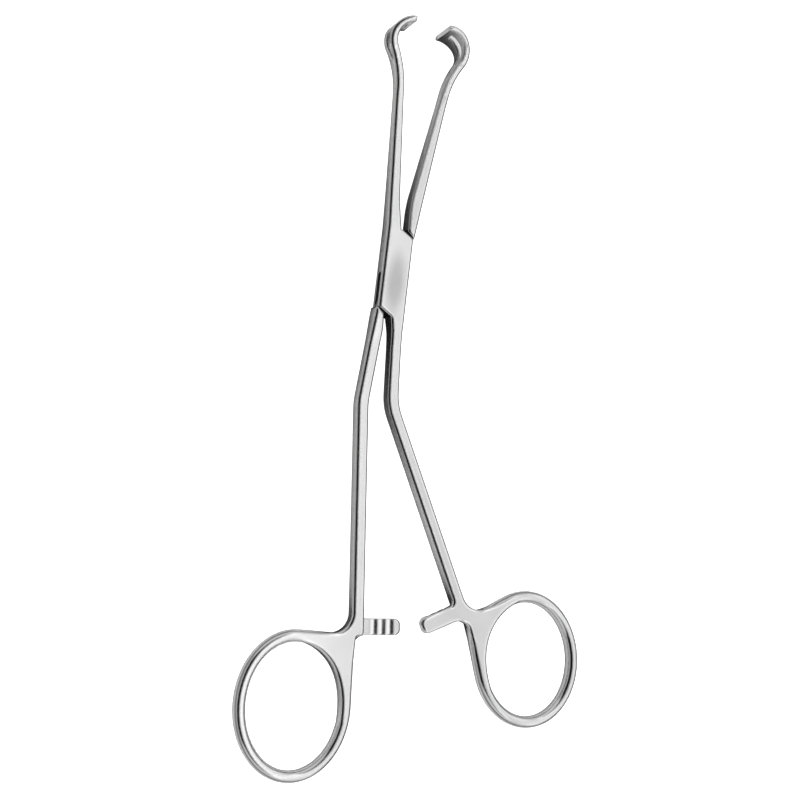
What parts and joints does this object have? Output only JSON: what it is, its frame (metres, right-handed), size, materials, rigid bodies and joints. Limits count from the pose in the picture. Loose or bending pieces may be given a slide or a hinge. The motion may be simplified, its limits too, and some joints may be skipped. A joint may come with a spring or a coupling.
{
  "type": "tissue forceps",
  "caption": "Ring-handled tissue forceps with a box lock, hooked fenestrated jaws, bent shanks, a ratchet and oval finger rings.",
  "frame": {"origin": "on the joint pin's axis, on the back face of the box lock", "axes": "+Y runs along the lock towards the jaws, +X to the right as seen from the front, +Z is the pin's axis, out of the front face"},
  "size_m": [0.0866, 0.1837, 0.009],
  "materials": {
    "steel": "polished stainless steel with a soft satin grain"
  },
  "bodies": {
    "box_body": {"box_half": "steel", "joint_pin": "steel"},
    "through_body": {"through_half": "steel"}
  },
  "joints": [
    {"name": "box_lock", "type": "hinge", "parent": "box_body", "child": "through_body", "pos_m": [0, 0, 0.0021], "axis": [0, 0, 1], "range_deg": [-30, 7.9]}
  ]
}
